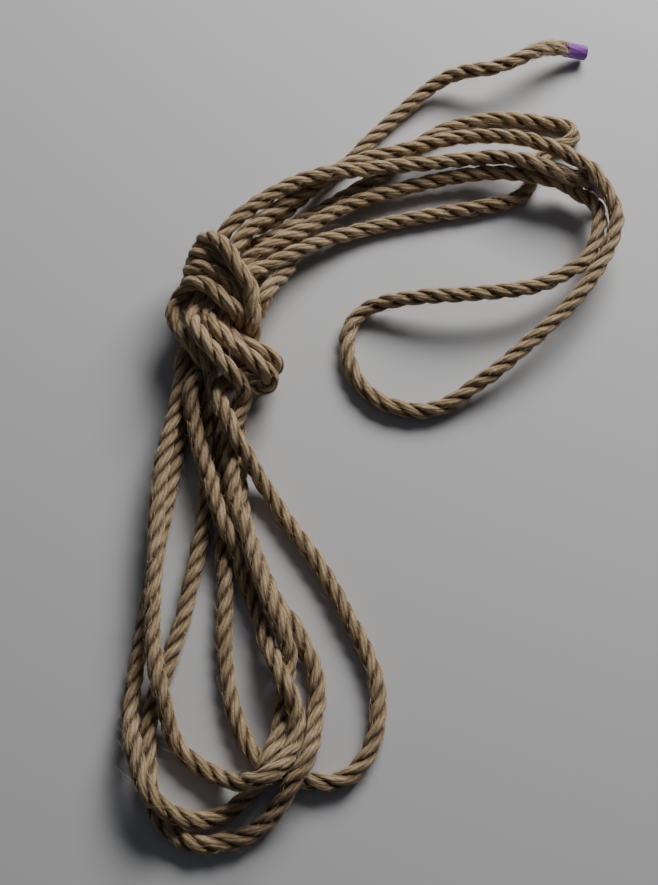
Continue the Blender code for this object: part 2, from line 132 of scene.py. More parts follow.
def wrap_point(angle):
    """One point of the wrapping turns; angle 0 is the last turn's left side."""
    cosine, sine = math.cos(angle), math.sin(angle)
    power = 2.0 / WRAP_SQUARENESS
    across = WRAP_SHIFT - WRAP_HALF_WIDTH * math.copysign(abs(cosine) ** power, cosine)
    height = WRAP_MID_HEIGHT + WRAP_HALF_HEIGHT * math.copysign(abs(sine) ** power, sine)
    along = WRAP_LAST_OFFSET + WRAP_PITCH * angle / (2 * math.pi)
    along += WRAP_SLANT * math.cos(angle - math.pi / 4)
    x = KNOT_CENTRE[0] + KNOT_AXIS[0] * along + KNOT_SIDE[0] * across
    y = KNOT_CENTRE[1] + KNOT_AXIS[1] * along + KNOT_SIDE[1] * across
    return (x, y, height)


def wrap_turns():
    """The wrapping turns, from the first one, nearest the legs, to the last."""
    step = 2 * math.pi / POINTS_PER_WRAP
    return [wrap_point(step * count) for count in range(WRAP_POINTS, 0, -1)]


# the route of the rope in mm, from free end 1 to free end 2, stretch by stretch
ROUTE = [
    ("free_end_1", [
        (118, 217, 5.5), (112, 217, 7), (104, 216, 10.5), (94.5, 213, 14.5),
        (85.5, 208, 17.5), (73, 200.5, 18.5), (61, 197, 17), (49.5, 197.5, 14),
        (40.5, 197, 11), (29, 192, 8), (17, 182, 5.5), (4.5, 170, 4),
    ]),
    ("leg_1", [
        (-7.5, 157, 4), (-16, 146.5, 4), (-25.5, 136.5, 5), (-36.5, 125.5, 8),
        (-48.5, 112, 11), (-61, 98, 14), (-76, 84, 16), (-84, 75, 17.5), (-89.5, 66, 17.5),
    ]),
    ("core_1", [
        (-91.5, 54, 17.5), (-93.5, 42.5, 17.5), (-96.5, 30.5, 17.5),
    ]),
    ("loop_1_down", [
        (-104, 19.5, 15), (-105, 5, 12), (-107, -6.5, 11.5), (-110, -22, 12),
        (-113, -38.5, 12), (-114, -55, 12), (-114.5, -69.5, 12.5), (-114, -89.5, 12.5),
        (-114, -109.5, 12.5), (-113.5, -123.5, 12), (-111.5, -138, 12.5),
        (-109, -149, 12.5), (-106.5, -157.5, 10), (-104, -167.5, 6), (-100, -176, 4),
        (-94, -182, 4),
    ]),
    ("loop_1_foot", [
        (-87, -186.5, 4), (-79, -190.5, 6), (-70.5, -193, 12), (-63.5, -193, 18),
        (-58.5, -191.5, 21), (-53.5, -188, 19), (-49.5, -183.5, 15),
    ]),
    ("loop_1_up", [
        (-46, -177.5, 10.5), (-44.5, -170.5, 9), (-45, -164, 9), (-47, -156.5, 11),
        (-51, -149, 12.5), (-54.5, -140, 11), (-59.5, -128, 7.5), (-63.5, -116.5, 4.5),
        (-67.5, -106, 4), (-71.5, -96.5, 4.5), (-75, -86.5, 6.5), (-79, -77, 9.5),
        (-83, -68, 12), (-87, -56.5, 12.5), (-89.5, -47, 12), (-92.5, -38, 12),
        (-96, -26, 12), (-98.5, -17, 13), (-100, -8.5, 16), (-100.5, 0, 17),
        (-93.5, 16, 15.5),
    ]),
    ("core_2", [
        (-89, 29, 17.5), (-86.5, 41, 17.5), (-84.5, 52.5, 17.5),
    ]),
    ("leg_5", [
        (-80.5, 62, 18.5), (-65, 75.5, 21), (-54, 83, 19), (-42, 93, 16), (-30, 103.5, 13),
        (-13.5, 114, 10), (3, 121, 8), (17.5, 125.5, 7.5), (33.5, 129.5, 8), (48, 131.5, 9),
        (62, 131.5, 11), (75.5, 129, 12.5), (89, 126.5, 12.5), (98.5, 124.5, 11),
        (106.5, 120, 11), (112.5, 112.5, 12), (115, 103.5, 13), (113.5, 92.5, 14),
        (110.5, 83, 14),
    ]),
    ("pulled_loop_top", [
        (104.5, 73.5, 14), (94.5, 67, 14.5), (85.5, 61.5, 15), (73.5, 57, 16),
        (58.5, 54.5, 16.5), (40.5, 53, 16), (22, 53, 14), (7, 53, 10.5), (-3.5, 52, 7.5),
        (-11, 49.5, 5), (-17.5, 43.5, 4), (-20.5, 35.5, 4), (-21, 26.5, 4),
    ]),
    ("pulled_loop_bottom", [
        (-19.5, 18, 4), (-16, 9.5, 4), (-10.5, 2.5, 4), (-2.5, -3.5, 4), (8, -7, 4),
        (16.5, -8, 4), (26.5, -6, 4.5), (34, -2.5, 5.5), (42, 3, 7), (56.5, 13, 10),
        (73, 27, 13), (89, 41.5, 15), (103.5, 58, 16), (113, 73, 17), (120, 87, 18),
        (122.5, 98.5, 19),
    ]),
    ("leg_3", [
        (121, 106, 20), (118, 113.5, 21), (112, 122.5, 22.5), (104.5, 129.5, 23.5),
        (96, 135.5, 24), (85.5, 142, 22.5), (74, 148, 19.5), (61, 151, 17),
        (47.5, 152.5, 14.5), (35, 151, 14), (23.5, 148, 14), (11.5, 144, 14.5),
        (-0.5, 140, 15.5), (-12.5, 135, 16.5), (-25.5, 127.5, 17.5), (-37.5, 118.5, 18.5),
        (-51, 108.5, 20), (-63, 96.5, 22), (-76, 84, 25), (-81, 73.5, 24.5),
        (-85.5, 63, 24),
    ]),
    ("core_3", [
        (-88, 53.5, 23.5), (-90, 41.5, 23.5),
    ]),
    ("tuck_2", [
        (-90, 35, 25), (-86, 28.5, 26.5), (-81, 21.5, 27), (-73.5, 14.5, 27),
        (-67, 9, 26.5), (-62.5, 5.5, 24.5), (-60, 4, 20), (-60, 3.5, 14), (-62, 3.5, 8.5),
    ]),
    ("loop_2_down", [
        (-68, 4, 5), (-74.5, 0.5, 4), (-77, -7.5, 4), (-77.5, -18.5, 4), (-77, -32, 4),
        (-76, -45.5, 4), (-74, -59, 4), (-70.5, -73, 4), (-65.5, -86, 4), (-60.5, -98.5, 4),
        (-54.5, -110, 4), (-47, -120, 4), (-42, -129.5, 4), (-38, -138.5, 4),
        (-36, -148, 4), (-36, -156, 4), (-37.5, -164.5, 6), (-39.5, -174, 10),
        (-42, -182, 13),
    ]),
    ("loop_2_foot", [
        (-46.5, -191.5, 12.5), (-52, -201.5, 8), (-60.5, -211, 4.5), (-70.5, -216.5, 4),
        (-80, -218.5, 4), (-89, -219, 4), (-97, -216, 4), (-104.5, -211, 4),
        (-109, -203.5, 4),
    ]),
    ("loop_2_up", [
        (-112, -193, 4), (-113.5, -183, 4), (-114, -173.5, 4), (-113.5, -163, 4),
        (-111.5, -152.5, 4), (-108, -143.5, 4), (-104.5, -131.5, 4), (-100.5, -117, 4),
        (-97, -98.5, 4), (-94, -81, 4), (-92, -69, 4), (-91, -56, 4), (-90.5, -40.5, 4),
        (-90.5, -24, 4), (-91, -10.5, 4), (-94, 5.5, 5), (-94, 18, 9),
    ]),
    ("core_4", [
        (-92.5, 30, 11.5), (-90, 41.5, 11.5), (-88, 53.5, 11.5),
    ]),
    ("back_bight", [
        (-71.5, 73.5, 8), (-66.5, 85, 5), (-61.5, 93, 4), (-55.5, 98, 4), (-49.5, 97.5, 4),
        (-46, 90.5, 5), (-48.5, 81, 8), (-53.5, 72, 11.5), (-58, 63, 15), (-62, 54.5, 18),
        (-65.5, 48, 18.5), (-68.5, 44.5, 15.5), (-69, 45, 10), (-68, 50, 5.5),
        (-65, 56.5, 4), (-62.5, 63.5, 4), (-63, 70, 4.5), (-66.5, 64.5, 6.5),
        (-73, 59, 9.5),
    ]),
    ("core_5", [
        (-80.5, 53, 11.5), (-82.5, 42.5, 11.5), (-85, 30.5, 11.5),
    ]),
    ("turn_in", [
        (-85.5, 22.5, 12), (-83.5, 16, 12.5), (-78, 13, 13), (-72, 18, 14.5),
    ]),
    ("wrap_1", [
        (-71, 26, 20.5), (-71.5, 34, 26), (-71.5, 42.5, 30), (-73, 49.5, 32), (-77, 57, 35),
        (-84, 66, 35.5), (-90.5, 71, 33), (-96.5, 73, 27.5), (-99, 74, 20),
    ]),
    ("wraps", wrap_turns()),
    ("wrap_4_curl", [
        (-109.5, 46, 19), (-110.5, 40, 20), (-109, 33.5, 19), (-105.5, 29, 17.5),
        (-101, 24, 16.5), (-96, 16, 16),
    ]),
    ("loop_3_up", [
        (-91, 5.5, 17), (-87.5, -3.5, 18.5), (-84.5, -10.5, 20), (-80.5, -20, 21),
        (-76, -30.5, 18), (-70.5, -37.5, 13), (-65, -46, 8), (-59, -55, 5), (-50, -69, 4),
        (-40.5, -82, 4), (-31, -97, 4), (-25.5, -107, 4), (-20.5, -117, 4),
        (-15.5, -126.5, 4), (-11.5, -136, 4), (-8.5, -145.5, 4), (-7.5, -155, 4),
        (-8, -164, 4), (-10, -173.5, 4),
    ]),
    ("loop_3_foot", [
        (-15, -183, 4), (-24, -190.5, 4), (-34.5, -192, 4), (-44.5, -190.5, 4),
        (-54, -188, 4), (-62, -183, 4), (-68, -175.5, 4),
    ]),
    ("loop_3_down", [
        (-72.5, -166, 4), (-76, -155.5, 4), (-78.5, -143.5, 4), (-80, -126.5, 4),
        (-80.5, -107, 4), (-81, -87, 4), (-81.5, -69, 4), (-82.5, -53.5, 4),
        (-84, -37.5, 4), (-85.5, -23, 4.5), (-87, -11, 4.5), (-87, -1, 4), (-84.5, 7, 4),
        (-79, 12, 4), (-72.5, 15, 4), (-67, 15.5, 4),
    ]),
    ("tuck_3", [
        (-62, 14.5, 5), (-58, 13.5, 10), (-57, 14, 15), (-59, 16, 18), (-63.5, 18, 19.5),
        (-70.5, 21.5, 20), (-77, 26.5, 20.5), (-82, 32, 22), (-83.5, 34, 23.5),
    ]),
    ("core_6", [
        (-82.5, 42.5, 23.5), (-80.5, 52, 23.5),
    ]),
    ("leg_6", [
        (-74.5, 61, 23.5), (-67, 67, 20), (-58.5, 70.5, 18), (-47.5, 80, 14),
        (-34.5, 88.5, 10), (-19, 96, 6), (-2.5, 102, 4), (13.5, 106, 4), (30, 109.5, 4),
        (47, 112.5, 4), (61.5, 116, 4), (72, 119, 4), (79.5, 125.5, 4), (82.5, 133.5, 4),
        (86.5, 142.5, 4), (92, 150.5, 4),
    ]),
    ("small_bight", [
        (99, 154.5, 4), (105, 156.5, 4), (108.5, 161, 4), (106, 165.5, 4), (99, 168.5, 4),
    ]),
    ("leg_2", [
        (89.5, 169.5, 4), (77.5, 171.5, 4), (64.5, 172, 4), (50.5, 170, 4),
        (36.5, 165.5, 4), (24.5, 158, 4), (13, 149, 4), (2.5, 139, 4), (-7.5, 130.5, 4),
        (-19, 122, 4), (-31, 113, 5), (-43, 102.5, 9), (-54.5, 93, 12.5), (-77, 84, 12),
        (-87, 75.5, 11.5), (-92.5, 66.5, 11.5),
    ]),
    ("core_7", [
        (-95, 54.5, 11.5), (-97, 43, 11.5), (-99.5, 31, 11.5),
    ]),
    ("loop_4_down", [
        (-106.5, 20, 8), (-103, 10, 5), (-104, -2, 4), (-105.5, -19.5, 4), (-108.5, -39, 4),
        (-111, -59, 4), (-113.5, -77.5, 4), (-116, -96, 4), (-118, -115.5, 4),
        (-120, -131.5, 4), (-122, -146, 4), (-122.5, -158, 5), (-121, -170.5, 9),
        (-118, -181.5, 12.5), (-115, -191.5, 12.5), (-110.5, -198, 12.5),
        (-104.5, -204, 12.5),
    ]),
    ("loop_4_foot", [
        (-96.5, -208, 9), (-88.5, -209, 5), (-79.5, -207, 4), (-71.5, -202, 4),
        (-65.5, -196, 7), (-60.5, -189.5, 12), (-57, -182.5, 12), (-54, -174, 8),
        (-52.5, -162.5, 4),
    ]),
    ("loop_4_up", [
        (-51, -149.5, 4), (-50, -140, 5), (-50.5, -131.5, 8.5), (-54, -120, 12.5),
        (-59, -108.5, 12.5), (-64.5, -95, 12.5), (-69, -83, 12.5), (-73.5, -70.5, 12.5),
        (-77, -57.5, 12.5), (-78.5, -43.5, 12.5), (-80, -30, 12.5), (-80, -22, 12.5),
    ]),
    ("tuck_1", [
        (-76.5, -15.5, 12.5), (-74, -8.5, 13), (-73, -3.5, 17.5), (-75.5, 0.5, 23),
        (-81, 5.5, 27.5), (-87, 12, 29.5), (-93, 19.5, 30), (-97.5, 28, 28.5),
        (-99.5, 34, 25.5),
    ]),
    ("core_8", [
        (-97, 45, 23.5), (-95, 54.5, 23.5),
    ]),
    ("leg_4", [
        (-92.5, 66.5, 24.5), (-87, 79.5, 25.5), (-81, 85, 27), (-72, 96, 27.5),
        (-58.5, 107.5, 27.5), (-46, 115, 26.5), (-30, 121.5, 25), (-13.5, 128, 19),
        (2.5, 132, 16), (19, 134, 15), (35.5, 136.5, 14.5), (52, 138, 15), (67, 136.5, 18),
    ]),
    ("free_end_2", [
        (80.5, 131, 20.5), (92.5, 126.5, 19), (102, 123.5, 16.5), (110.5, 122.5, 13),
        (117.5, 120.5, 10.5), (122.5, 118.5, 9),
    ]),
]


# ---------------------------------------------------------------- the rope's line

def resample(points, step):
    """Points at an even spacing along a polyline."""
    length = np.r_[0, np.cumsum(np.linalg.norm(np.diff(points, axis=0), axis=1))]
    count = int(round(length[-1] / step)) + 1
    wanted = np.linspace(0, length[-1], count)
    return np.stack([np.interp(wanted, length, points[:, c]) for c in range(3)], 1)


def smooth_curve(points, step):
    """Centripetal Catmull-Rom curve through the points, and the length at each point."""
    points = np.asarray(points, float)
    ends = (2 * points[0] - points[1], 2 * points[-1] - points[-2])
    full = np.vstack([ends[0], points, ends[1]])
    pieces = []
    marks = [0.0]
    for i in range(1, len(full) - 2):
        p0, p1, p2, p3 = full[i - 1:i + 3]
        t1 = math.sqrt(np.linalg.norm(p1 - p0))
        t2 = t1 + math.sqrt(np.linalg.norm(p2 - p1))
        t3 = t2 + math.sqrt(np.linalg.norm(p3 - p2))
        count = max(2, int(np.linalg.norm(p2 - p1) / step * 8))
        t = np.linspace(t1, t2, count + 1)[:, None]
        a1 = (t1 - t) / t1 * p0 + t / t1 * p1
        a2 = (t2 - t) / (t2 - t1) * p1 + (t - t1) / (t2 - t1) * p2
        a3 = (t3 - t) / (t3 - t2) * p2 + (t - t2) / (t3 - t2) * p3
        b1 = (t2 - t) / t2 * a1 + t / t2 * a2
        b2 = (t3 - t) / (t3 - t1) * a2 + (t - t1) / (t3 - t1) * a3
        piece = (t2 - t) / (t2 - t1) * b1 + (t - t1) / (t2 - t1) * b2
        marks.append(marks[-1] + np.linalg.norm(np.diff(piece, axis=0), axis=1).sum())
        pieces.append(piece[:-1])
    pieces.append(points[-1:])
    return resample(np.vstack(pieces), step), np.array(marks)


def soften(field, rounds):
    """Spread a field of small moves along the rope."""
    for _ in range(rounds):
        first = field[:1] * 0.75 + field[1:2] * 0.25
        last = field[-1:] * 0.75 + field[-2:-1] * 0.25
        middle = 0.25 * field[:-2] + 0.5 * field[1:-1] + 0.25 * field[2:]
        field = np.vstack([first, middle, last])
    return field


def squeeze_along(path):
    """Share of its full thickness that the rope has at each sample: less inside the knot."""
    points = np.array([point for _, stretch in ROUTE for point in stretch], float)
    gripped = np.array([name.startswith("core") for name, stretch in ROUTE for _ in stretch])
    nearest = [int(((points - spot) ** 2).sum(1).argmin()) for spot in path]
    share = np.where(gripped[nearest], GRIPPED, 1.0)
    for _ in range(6):
        share[1:-1] = (share[:-2] + 2 * share[1:-1] + share[2:]) / 4
    return share


def crowding_push(path, share, first, second):
    """Move that takes two passes apart where they are closer than they may be."""
    apart = path[first] - path[second]
    distance = np.sqrt((apart * apart).sum(1)) + 1e-9
    least = CLEARANCE * (share[first] + share[second]) / 2
    overlap = np.maximum(least - distance, 0)
    part = apart * (overlap / distance)[:, None]
    push = np.zeros_like(path)
    contacts = np.zeros(len(path))
    np.add.at(push, first, part)
    np.add.at(push, second, -part)
    np.add.at(contacts, first, overlap > 0)
    np.add.at(contacts, second, overlap > 0)
    return push / np.maximum(contacts, 1)[:, None] * 0.5


def kink_ease(path):
    """Move that opens bends sharper than EASY_RADIUS."""
    inward = (path[:-2] + path[2:]) / 2 - path[1:-1]
    bend = np.linalg.norm(inward, axis=1)
    limit = SAMPLE_STEP ** 2 / (2 * EASY_RADIUS)
    share = np.clip((bend - limit) / np.maximum(bend, 1e-9), 0, 1)[:, None]
    ease = np.zeros_like(path)
    ease[1:-1] = inward * share * 0.3
    return ease


def settle(path):
    """Let the passes of the rope push each other apart until none runs through another."""
    path = path.copy()
    share = squeeze_along(path)
    skip = int(math.ceil(SAME_PASS / SAMPLE_STEP))
    all_first, all_second = np.triu_indices(len(path), skip + 1)
    for turn in range(SETTLE_ROUNDS):
        if turn % ROUNDS_PER_SEARCH == 0:
            apart = path[all_first] - path[all_second]
            close = (apart * apart).sum(1) < (CLEARANCE + CLOSE_PASS) ** 2
            first, second = all_first[close], all_second[close]
        path += soften(crowding_push(path, share, first, second), 2)
        path += soften(kink_ease(path), 1)
        path[:, 2] = np.maximum(path[:, 2], FLOOR_HEIGHT)
    return path, share


def rope_line():
    """The settled centreline at even RING_STEP spacing, and its share of full thickness."""
    points = [point for _, stretch in ROUTE for point in stretch]
    settled, squeeze = settle(smooth_curve(points, SAMPLE_STEP)[0])
    line, marks = smooth_curve(settled, RING_STEP)
    return line, np.interp(np.linspace(0, marks[-1], len(line)), marks, squeeze)


def unit(rows):
    """Each row at length 1."""
    return rows / np.maximum(np.linalg.norm(rows, axis=-1, keepdims=True), 1e-12)


def carried_frame(line):
    """Tangent and two side directions that turn with the line but do not spin about it."""
    tangent = unit(np.gradient(line, axis=0))
    side = np.zeros_like(line)
    side[0] = unit(np.cross(tangent[0], (0.0, 0.0, 1.0)))
    for i in range(1, len(line)):
        moved = side[i - 1] - tangent[i] * np.dot(side[i - 1], tangent[i])
        side[i] = moved / np.linalg.norm(moved)
    return tangent, side, np.cross(tangent, side)


def wobble(length, seed, *periods):
    """A smooth value around 0 that never repeats visibly along the rope."""
    rng = np.random.default_rng(seed)
    total = np.zeros_like(length)
    for period in periods:
        total += np.sin(2 * math.pi * length / period + rng.uniform(0, 6.28))
    return total / len(periods)


def end_looseness(length):
    """1 right behind a sleeve, falling to 0 over LOOSE_END."""
    near = np.minimum(length, length[-1] - length) - SLEEVE_LENGTH
    return np.clip(1 - near / LOOSE_END, 0, 1) ** 1.5 * (near > -0.5)


# ---------------------------------------------------------------- meshes

def mesh_object(name, verts, faces, material, smooth=True):
    """A mesh from points in mm."""
    mesh = bpy.data.meshes.new(name)
    mesh.from_pydata(np.asarray(verts) * MM, [], faces)
    mesh.materials.append(material)
    mesh.polygons.foreach_set("use_smooth", [smooth] * len(mesh.polygons))
    mesh.update()
    obj = bpy.data.objects.new(name, mesh)
    bpy.context.scene.collection.objects.link(obj)
    return obj


def add_values(obj, name, kind, values):
    """Store one value per vertex for the material to read."""
    layer = obj.data.attributes.new(name, kind, "POINT")
    field = "vector" if kind == "FLOAT_VECTOR" else "value"
    layer.data.foreach_set(field, np.asarray(values, np.float32).ravel())


def tube_faces(rings, sides, first):
    """Quads between rings of vertices, and a cap at each end."""
    i = np.arange(rings - 1)[:, None] * sides
    j = np.arange(sides)[None]
    k = (j + 1) % sides
    quads = np.stack([i + j, i + k, i + sides + k, i + sides + j], -1).reshape(-1, 4) + first
    faces = quads.tolist()
    faces.append([first + n for n in reversed(range(sides))])
    faces.append([first + (rings - 1) * sides + n for n in range(sides)])
    return faces


def lumps(rings, sides, seed):
    """Uneven packing of the yarns: soft random bumps about three rings long."""
    rng = np.random.default_rng(seed)
    rough = rng.normal(0, 1, (rings, sides))
    for _ in range(2):
        rough = (np.roll(rough, 1, 0) + 2 * rough + np.roll(rough, -1, 0)) / 4
        rough = (np.roll(rough, 1, 1) + 2 * rough + np.roll(rough, -1, 1)) / 4
    return rough / rough.std()


def pressed(line):
    """1 in the middle of the knot, falling to 0 away from it."""
    middle = np.array((*KNOT_CENTRE, WRAP_MID_HEIGHT))
    away = np.linalg.norm(line - middle, axis=1)
    return np.exp(-(away / KNOT_REACH) ** 4)


def strand_values(line, length, squeeze, which):
    """Vertices of one strand and what its material needs at each of them."""
    _, side, up = carried_frame(line)
    lay = LAY_LENGTH * (1 + 0.07 * wobble(length, 5, 97, 173, 41))
    # laid a little tighter about 110 mm behind free end 1
    lay *= 1 - 0.10 * np.exp(-((length - 110) / 80) ** 2)
    loose = end_looseness(length)
    lay *= (1 + 0.35 * loose) * squeeze
    turn = np.cumsum(np.gradient(length) * 2 * math.pi / lay) + 2 * math.pi * which / STRANDS
    out = side * np.cos(turn)[:, None] + up * np.sin(turn)[:, None]
    inside = np.minimum(length, length[-1] - length) < SLEEVE_LENGTH - 0.2
    grip = np.where(inside, SLEEVE_GRIP, 1.0)
    helix = HELIX_RADIUS * (1 + 0.14 * loose) * grip
    helix = helix * (1 + 0.02 * wobble(length, 21 + which, 19, 33))
    size = STRAND_RADIUS * (1 + 0.07 * loose) * grip
    flat = pressed(line)
    size = size * (1 + KNOT_SWELL * flat) * squeeze
    size = size * (1 + 0.045 * wobble(length, 31 + which, 13, 27, 61))
    helix = helix * (1 - KNOT_CLOSE * flat) * squeeze
    centre = line + out * helix[:, None]
    along = unit(np.gradient(centre, axis=0))
    radial = unit(out - along * (out * along).sum(1)[:, None])
    across = np.cross(along, radial)
    run = np.r_[0, np.cumsum(np.linalg.norm(np.diff(centre, axis=0), axis=1))]
    angle = 2 * math.pi * np.arange(STRAND_SIDES) / STRAND_SIDES
    yarn = angle[None] - YARN_TURN * run[:, None] + which
    drift = 0.9 * wobble(run, 51 + which, 23, 57)[:, None]
    relief = 1 + YARN_RELIEF * np.cos(YARNS * yarn + drift)
    relief = relief + LUMP_RELIEF * lumps(len(run), STRAND_SIDES, 61 + which)
    reach = size[:, None] * relief
    verts = centre[:, None] + radial[:, None] * (reach * np.cos(angle))[..., None]
    verts = verts + across[:, None] * (reach * STRAND_WIDTH * np.sin(angle))[..., None]
    spin = np.stack([np.cos(yarn), np.sin(yarn), np.repeat(run[:, None], STRAND_SIDES, 1)], -1)
    verts[..., 2] = np.maximum(verts[..., 2], 0.03)
    # how far each vertex faces out of its strand; the material paints shade into the valleys between
    # strands from it, less inside the knot
    crown = np.cos(angle)[None] + KNOT_SHALLOW * flat[:, None]
    shade = 0.5 + 0.5 * wobble(run, 71 + which, 9, 23, 67, 210)
    return verts, spin, crown, np.repeat(shade[:, None], STRAND_SIDES, 1)


def add_rope(line, length, squeeze, material):
    """The three strands as one mesh."""
    verts, faces, spins, crowns, shades = [], [], [], [], []
    for which in range(STRANDS):
        v, spin, crown, shade = strand_values(line, length, squeeze, which)
        faces += tube_faces(len(line), STRAND_SIDES, which * len(line) * STRAND_SIDES)
        verts.append(v.reshape(-1, 3))
        spins.append(spin.reshape(-1, 3) + (0, 0, 400.0 * which))
        crowns.append(crown.ravel())
        shades.append(shade.ravel())
    rope = mesh_object("rope_strands", np.vstack(verts), faces, material)
    add_values(rope, "spin", "FLOAT_VECTOR", np.vstack(spins))
    add_values(rope, "crown", "FLOAT", np.concatenate(crowns))
    add_values(rope, "shade", "FLOAT", np.concatenate(shades))
    return rope


def hair_path(rng, line, tangent, side, up):
    """One loose fibre: it leaves the rope's skin at a low angle and curls a little."""
    ends = rng.random() < END_SHARE
    spot = int(rng.integers(BARE_RINGS, len(line) - BARE_RINGS))
    if ends:
        back = int(rng.integers(BARE_RINGS, END_RINGS))
        spot = back if rng.random() < 0.5 else len(line) - back
    angle = rng.uniform(0, 2 * math.pi)
    out = side[spot] * math.cos(angle) + up[spot] * math.sin(angle)
    round_way = np.cross(tangent[spot], out)
    way = tangent[spot] * rng.choice((-1, 1)) + round_way * rng.normal(0, 0.35)
    way = way / np.linalg.norm(way) + out * rng.uniform(*HAIR_LIFT)
    curl = out * rng.normal(-0.05, 0.10) + round_way * rng.normal(0, 0.12)
    reach = rng.gamma(3.0, 0.95) + 1.0
    start = line[spot] + out * (ROPE_DIAMETER / 2 - HAIR_START)
    t = np.linspace(0, 1, HAIR_POINTS)[:, None]
    path = start + way * reach * t + curl * reach * t * t
    path[:, 2] = np.maximum(path[:, 2], 0.12)
    return path


def add_hairs(name, line, count, seed, material):
    """Many loose fibres as thin three-sided tubes in one mesh."""
    rng = np.random.default_rng(seed)
    tangent, side, up = carried_frame(line)
    verts, faces = [], []
    for _ in range(count):
        path = hair_path(rng, line, tangent, side, up)
        thick = rng.uniform(*HAIR_RADII)
        ahead = unit(np.gradient(path, axis=0))
        first_side = unit(np.cross(ahead, (0.31, 0.52, 0.79)))
        second = np.cross(ahead, first_side)
        taper = thick * np.linspace(1, 0.35, len(path))[:, None, None]
        ring = np.array([0, 2.094, 4.189])[None, :, None]   # a third of a turn apart
        shape = first_side[:, None] * np.cos(ring) + second[:, None] * np.sin(ring)
        faces += tube_faces(len(path), 3, len(verts) * len(path) * 3)
        verts.append((path[:, None] + shape * taper).reshape(-1, 3))
    return mesh_object(name, np.vstack(verts), faces, material)


def sleeve_radius(along, angle, seed):
    """Radius of a sleeve's outside: creases, the wrap's lapped edge and drawn-in rims."""
    rng = np.random.default_rng(seed)
    radius = np.full((len(along), len(angle)), SLEEVE_RADIUS)
    for _ in range(SLEEVE_CREASES):
        spin, cycles = rng.uniform(0, 6.28), int(rng.integers(2, 6))
        slope, depth = rng.uniform(-0.5, 0.5), rng.uniform(0.04, 0.11)
        radius -= depth * np.sin(cycles * angle[None] + spin + slope * along[:, None]) ** 2
    lap = np.clip((angle[None] - LAP_ARC[0] - 0.02 * along[:, None]) / 0.08, 0, 1)
    radius += SLEEVE_LAP * lap * (angle[None] < LAP_ARC[1])
    radius -= np.clip((0.5 - along) / 0.65, 0, 1)[:, None] ** 2 * RIM_OUTER
    radius -= np.clip((along - SLEEVE_LENGTH + 0.7) / 0.7, 0, 1)[:, None] ** 2 * RIM_INNER
    return radius


def add_sleeve(name, line, length, at_start, seed, material):
    """A thin creased wrap round the rope's end, open at its outer rim with the fibre inside."""
    near = length if at_start else length[-1] - length
    order = np.argsort(near)
    along = np.linspace(-0.15, SLEEVE_LENGTH - 0.1, SLEEVE_RINGS)
    path = np.stack([np.interp(along, near[order], line[order, c]) for c in range(3)], 1)
    tangent = unit(np.gradient(path, axis=0))
    side = unit(np.cross(tangent, (0.0, 0.0, 1.0)))
    up = np.cross(side, tangent)
    angle = 2 * math.pi * np.arange(SLEEVE_SIDES) / SLEEVE_SIDES
    radius = sleeve_radius(along, angle, seed)
    verts = []
    for step, wall in ((1, 0.0), (-1, SLEEVE_WALL)):
        a, b = side[::step, None], up[::step, None]
        spread = a * np.cos(angle)[None, :, None] + b * np.sin(angle)[None, :, None]
        verts.append((path[::step, None] + spread * (radius[::step] - wall)[..., None]).reshape(-1, 3))
    count = 2 * len(along)
    faces = tube_faces(count, SLEEVE_SIDES, 0)[:-2]
    last = (count - 1) * SLEEVE_SIDES
    for j in range(SLEEVE_SIDES):
        k = (j + 1) % SLEEVE_SIDES
        faces.append([last + j, last + k, k, j])
    if at_start:
        faces = [face[::-1] for face in faces]
    return mesh_object(name, np.vstack(verts), faces, material)


def add_plug(name, line, length, at_start, seed, material):
    """The cut fibre inside a sleeve's open end: a rough disc of yarn ends."""
    near = length if at_start else length[-1] - length
    order = np.argsort(near)
    spots = np.array(CUT_DEPTHS)
    path = np.stack([np.interp(spots, near[order], line[order, c]) for c in range(3)], 1)
    ahead = unit(path[0] - path[1])
    side = unit(np.cross(ahead, (0.0, 0.0, 1.0)))
    up = np.cross(side, ahead)
    rng = np.random.default_rng(seed)
    verts, faces = [], []
    for _ in range(CUT_YARNS):
        r, a = CUT_RADIUS * math.sqrt(rng.random()), rng.uniform(0, 6.28)
        base = path[1] + side * r * math.cos(a) + up * r * math.sin(a)
        tip = base + ahead * rng.uniform(0.5, 1.1) + side * rng.normal(0, 0.1)
        first = len(verts)
        for point, size in zip((base, tip), CUT_YARN_RADII):
            for turn in (0, 1.571, 3.142, 4.712):
                verts.append(point + (side * math.cos(turn) + up * math.sin(turn)) * size)
        faces += tube_faces(2, 4, first)
    return mesh_object(name, np.array(verts), faces, material, smooth=False)


# ---------------------------------------------------------------- materials

def new_material(name):
    """A material, its node tree and its shader."""
    material = bpy.data.materials.new(name)
    material.use_nodes = True
    tree = material.node_tree
    return material, tree, tree.nodes["Principled BSDF"]


def ramp(tree, value, stops):
    """Colours for a value from 0 to 1."""
    node = tree.nodes.new("ShaderNodeValToRGB")
    while len(node.color_ramp.elements) < len(stops):
        node.color_ramp.elements.new(0.5)
    for element, (place, colour) in zip(node.color_ramp.elements, stops):
        element.position = place
        element.color = (*colour, 1)
    tree.links.new(value, node.inputs["Fac"])
    return node.outputs["Color"]


def noise(tree, vector, scale, detail=3.0, roughness=0.55):
    """A noise value at each place."""
    node = tree.nodes.new("ShaderNodeTexNoise")
    node.inputs["Scale"].default_value = scale
    node.inputs["Detail"].default_value = detail
    node.inputs["Roughness"].default_value = roughness
    tree.links.new(vector, node.inputs["Vector"])
    return node.outputs["Fac"]


def maths(tree, operation, *values):
    """One arithmetic step on numbers or sockets."""
    node = tree.nodes.new("ShaderNodeMath")
    node.operation = operation
    for socket, value in zip(node.inputs, values):
        if isinstance(value, (int, float)):
            socket.default_value = value
        else:
            tree.links.new(value, socket)
    return node.outputs[0]


